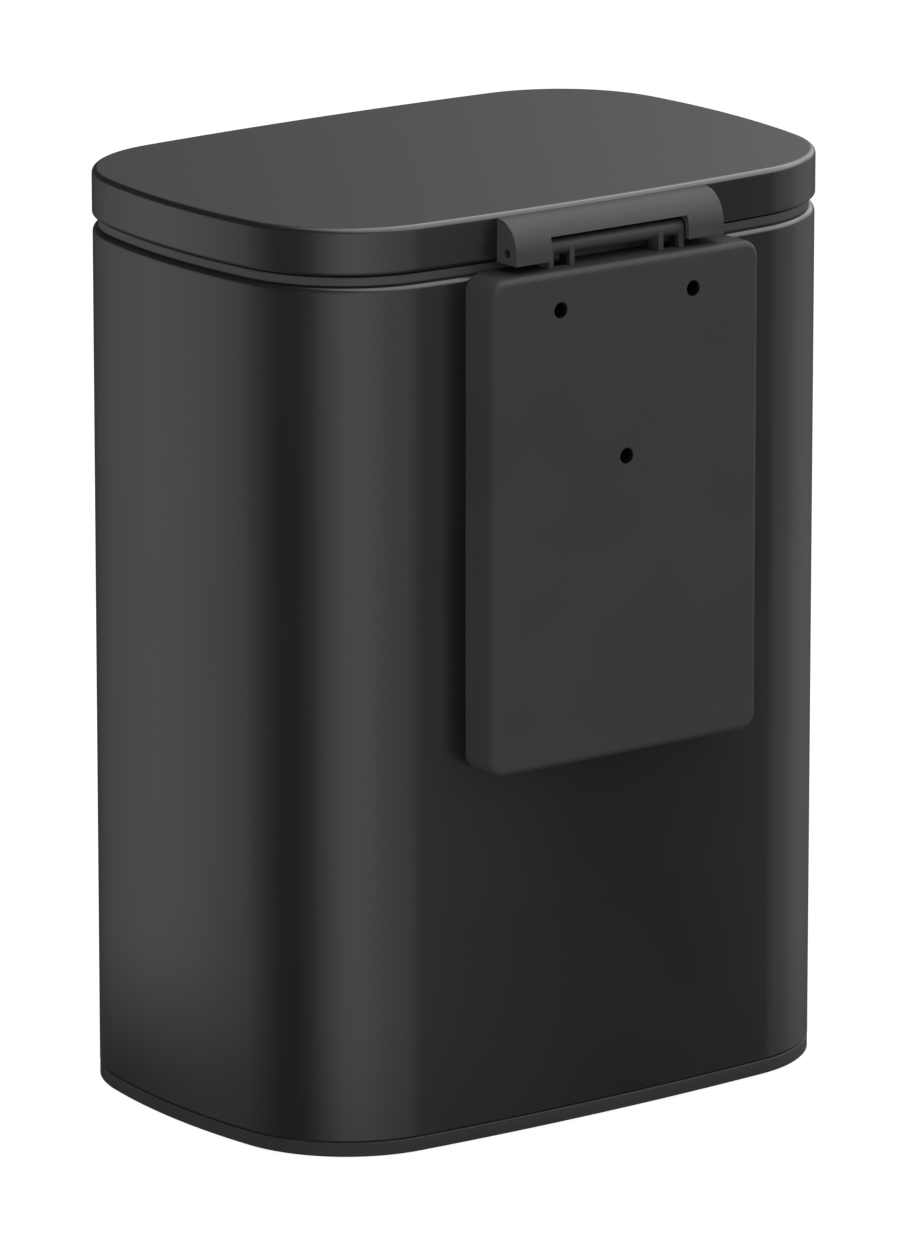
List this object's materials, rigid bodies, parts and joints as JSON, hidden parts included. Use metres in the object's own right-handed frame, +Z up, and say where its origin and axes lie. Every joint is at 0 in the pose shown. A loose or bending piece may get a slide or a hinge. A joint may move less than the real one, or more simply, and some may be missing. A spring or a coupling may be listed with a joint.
{
  "type": "pedal bin",
  "caption": "Step-on waste bin with a rounded rectangular steel body, a rear-hinged lid lifted by a pedal, a back cover over the hinge and an inner bucket.",
  "frame": {"origin": "on the floor, under the middle of the bin's bounding box", "axes": "+Z up, -Y towards the front (pedal) side, +Y towards the hinge and back cover, +X to the left seen from behind"},
  "size_m": [0.3746, 0.3, 0.5],
  "materials": {
    "body_paint": "satin black paint on steel sheet",
    "lid_paint": "satin black paint on steel sheet",
    "black_plastic": "fine-grained moulded polypropylene",
    "hinge_plastic": "fine-grained moulded ABS",
    "cover_plastic": "fine-grained moulded ABS",
    "bucket_plastic": "moulded polypropylene",
    "steel": "zinc-plated steel",
    "dark_screws": "black oxide steel",
    "rubber": "matt rubber",
    "pedal_rubber": "ribbed matt rubber"
  },
  "bodies": {
    "root": {"body_shell": "body_paint", "body_rim": "black_plastic", "base_tray": "black_plastic", "foot_pad_1": "rubber", "foot_pad_2": "rubber", "foot_pad_3": "rubber", "foot_pad_4": "rubber", "inner_bucket": "bucket_plastic", "bucket_handle": "steel", "hinge_mount": "hinge_plastic", "hinge_pin": "dark_screws", "backing_plate": "steel", "mount_screw_1": "dark_screws", "mount_screw_2": "dark_screws", "mount_screw_3": "dark_screws", "mount_screw_4": "dark_screws", "rear_cover": "cover_plastic", "cover_screw_1": "dark_screws", "cover_screw_2": "dark_screws", "cover_screw_3": "dark_screws", "rod_guide": "black_plastic", "rod_channel": "black_plastic", "damper_cylinder": "steel", "damper_bracket": "steel", "damper_pin": "steel", "damper_rivet_1": "steel", "damper_rivet_2": "steel", "pivot_axle": "steel", "axle_clip_1": "steel", "axle_clip_2": "steel"},
    "lid": {"lid_shell": "lid_paint", "lid_liner": "black_plastic", "lid_bumper_1": "rubber", "lid_bumper_2": "rubber", "hinge_housing": "hinge_plastic", "housing_screw_1": "dark_screws", "housing_screw_2": "dark_screws", "lift_lug": "steel", "lug_screw_1": "steel", "lug_screw_2": "steel"},
    "lift_rod": {"lift_rod": "steel"},
    "damper_rod": {"damper_rod": "steel"},
    "pedal": {"pedal_lever": "steel", "pedal_plate": "steel", "pedal_pad": "pedal_rubber", "pedal_rivet_1": "steel", "pedal_rivet_2": "steel"}
  },
  "joints": [
    {"name": "lid_hinge", "type": "hinge", "parent": "root", "child": "lid", "pos_m": [0, 0.136, 0.4804], "axis": [-1, 0, 0], "range_deg": [0, 76]},
    {"name": "rod_slide", "type": "slide", "parent": "root", "child": "lift_rod", "axis": [0, 0, 1], "range_m": [0, 0.0298]},
    {"name": "damper_slide", "type": "slide", "parent": "root", "child": "damper_rod", "axis": [0, 0, 1], "range_m": [0, 0.0087]},
    {"name": "pedal_pivot", "type": "hinge", "parent": "root", "child": "pedal", "pos_m": [0, -0.052, 0.024], "axis": [1, 0, 0], "range_deg": [0, 10.15]}
  ],
  "couplings": [
    {"joint": "rod_slide", "follows": "lid_hinge", "m_per_rad": 0.022382},
    {"joint": "damper_slide", "follows": "lid_hinge", "m_per_rad": 0.0064791},
    {"joint": "pedal_pivot", "follows": "lid_hinge", "ratio": 0.13261}
  ]
}
